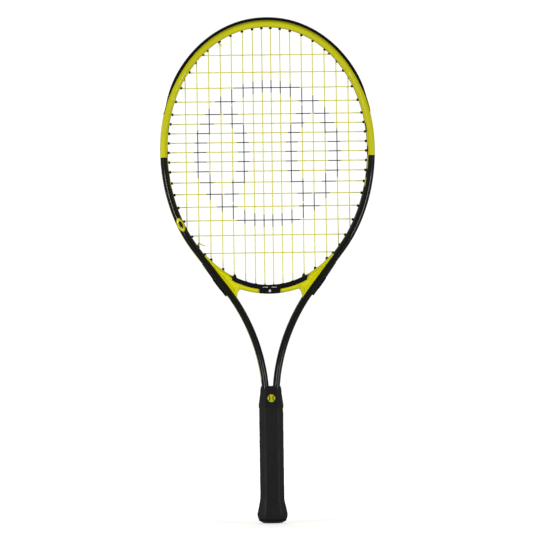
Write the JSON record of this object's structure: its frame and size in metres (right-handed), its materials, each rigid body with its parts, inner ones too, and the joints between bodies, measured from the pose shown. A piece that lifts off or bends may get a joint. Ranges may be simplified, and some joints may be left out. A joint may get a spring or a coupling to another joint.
{
  "type": "tennis racket",
  "caption": "Oversize strung tennis racket with an oval hoop, open triangular throat and bridge, black guards, yellow strings and a wrapped octagonal handle.",
  "frame": {"origin": "centre of the butt's flat end", "axes": "+Z from the butt to the tip, +X across the string bed, +Y square to the string bed, from the front face to the back face"},
  "size_m": [0.2916, 0.0362, 0.6858],
  "materials": {
    "painted_frame": "gloss",
    "painted_bridge": "gloss",
    "black_nylon": "satin",
    "string": "gloss",
    "pallet_foam": "matte",
    "black_plastic": "satin",
    "steel": "satin",
    "grip": "matte",
    "tape": "satin",
    "collar_rubber": "satin"
  },
  "bodies": {
    "racket": {"frame_tube": "painted_frame", "throat_bridge": "painted_bridge", "bumper_guard": "black_nylon", "grommet_strip_left": "black_nylon", "grommet_strip_right": "black_nylon", "throat_grommet_strip": "black_nylon", "shoulder_pad_left": "black_nylon", "shoulder_pad_right": "black_nylon", "main_string": "string", "cross_string": "string", "upper_tie_off_knot": "string", "lower_tie_off_knot": "string", "handle_pallet_front": "pallet_foam", "handle_pallet_back": "pallet_foam", "butt_cap": "black_plastic", "butt_cap_staples": "steel", "replacement_grip": "grip", "grip_start_tack": "steel", "finishing_tape": "tape", "grip_collar": "collar_rubber"},
    "trap_door": {"butt_cap_trap_door": "black_plastic"}
  },
  "joints": [
    {"name": "trap_door_slide", "type": "slide", "parent": "racket", "child": "trap_door", "axis": [0, 0, -1], "range_m": [0, 0.012]}
  ]
}
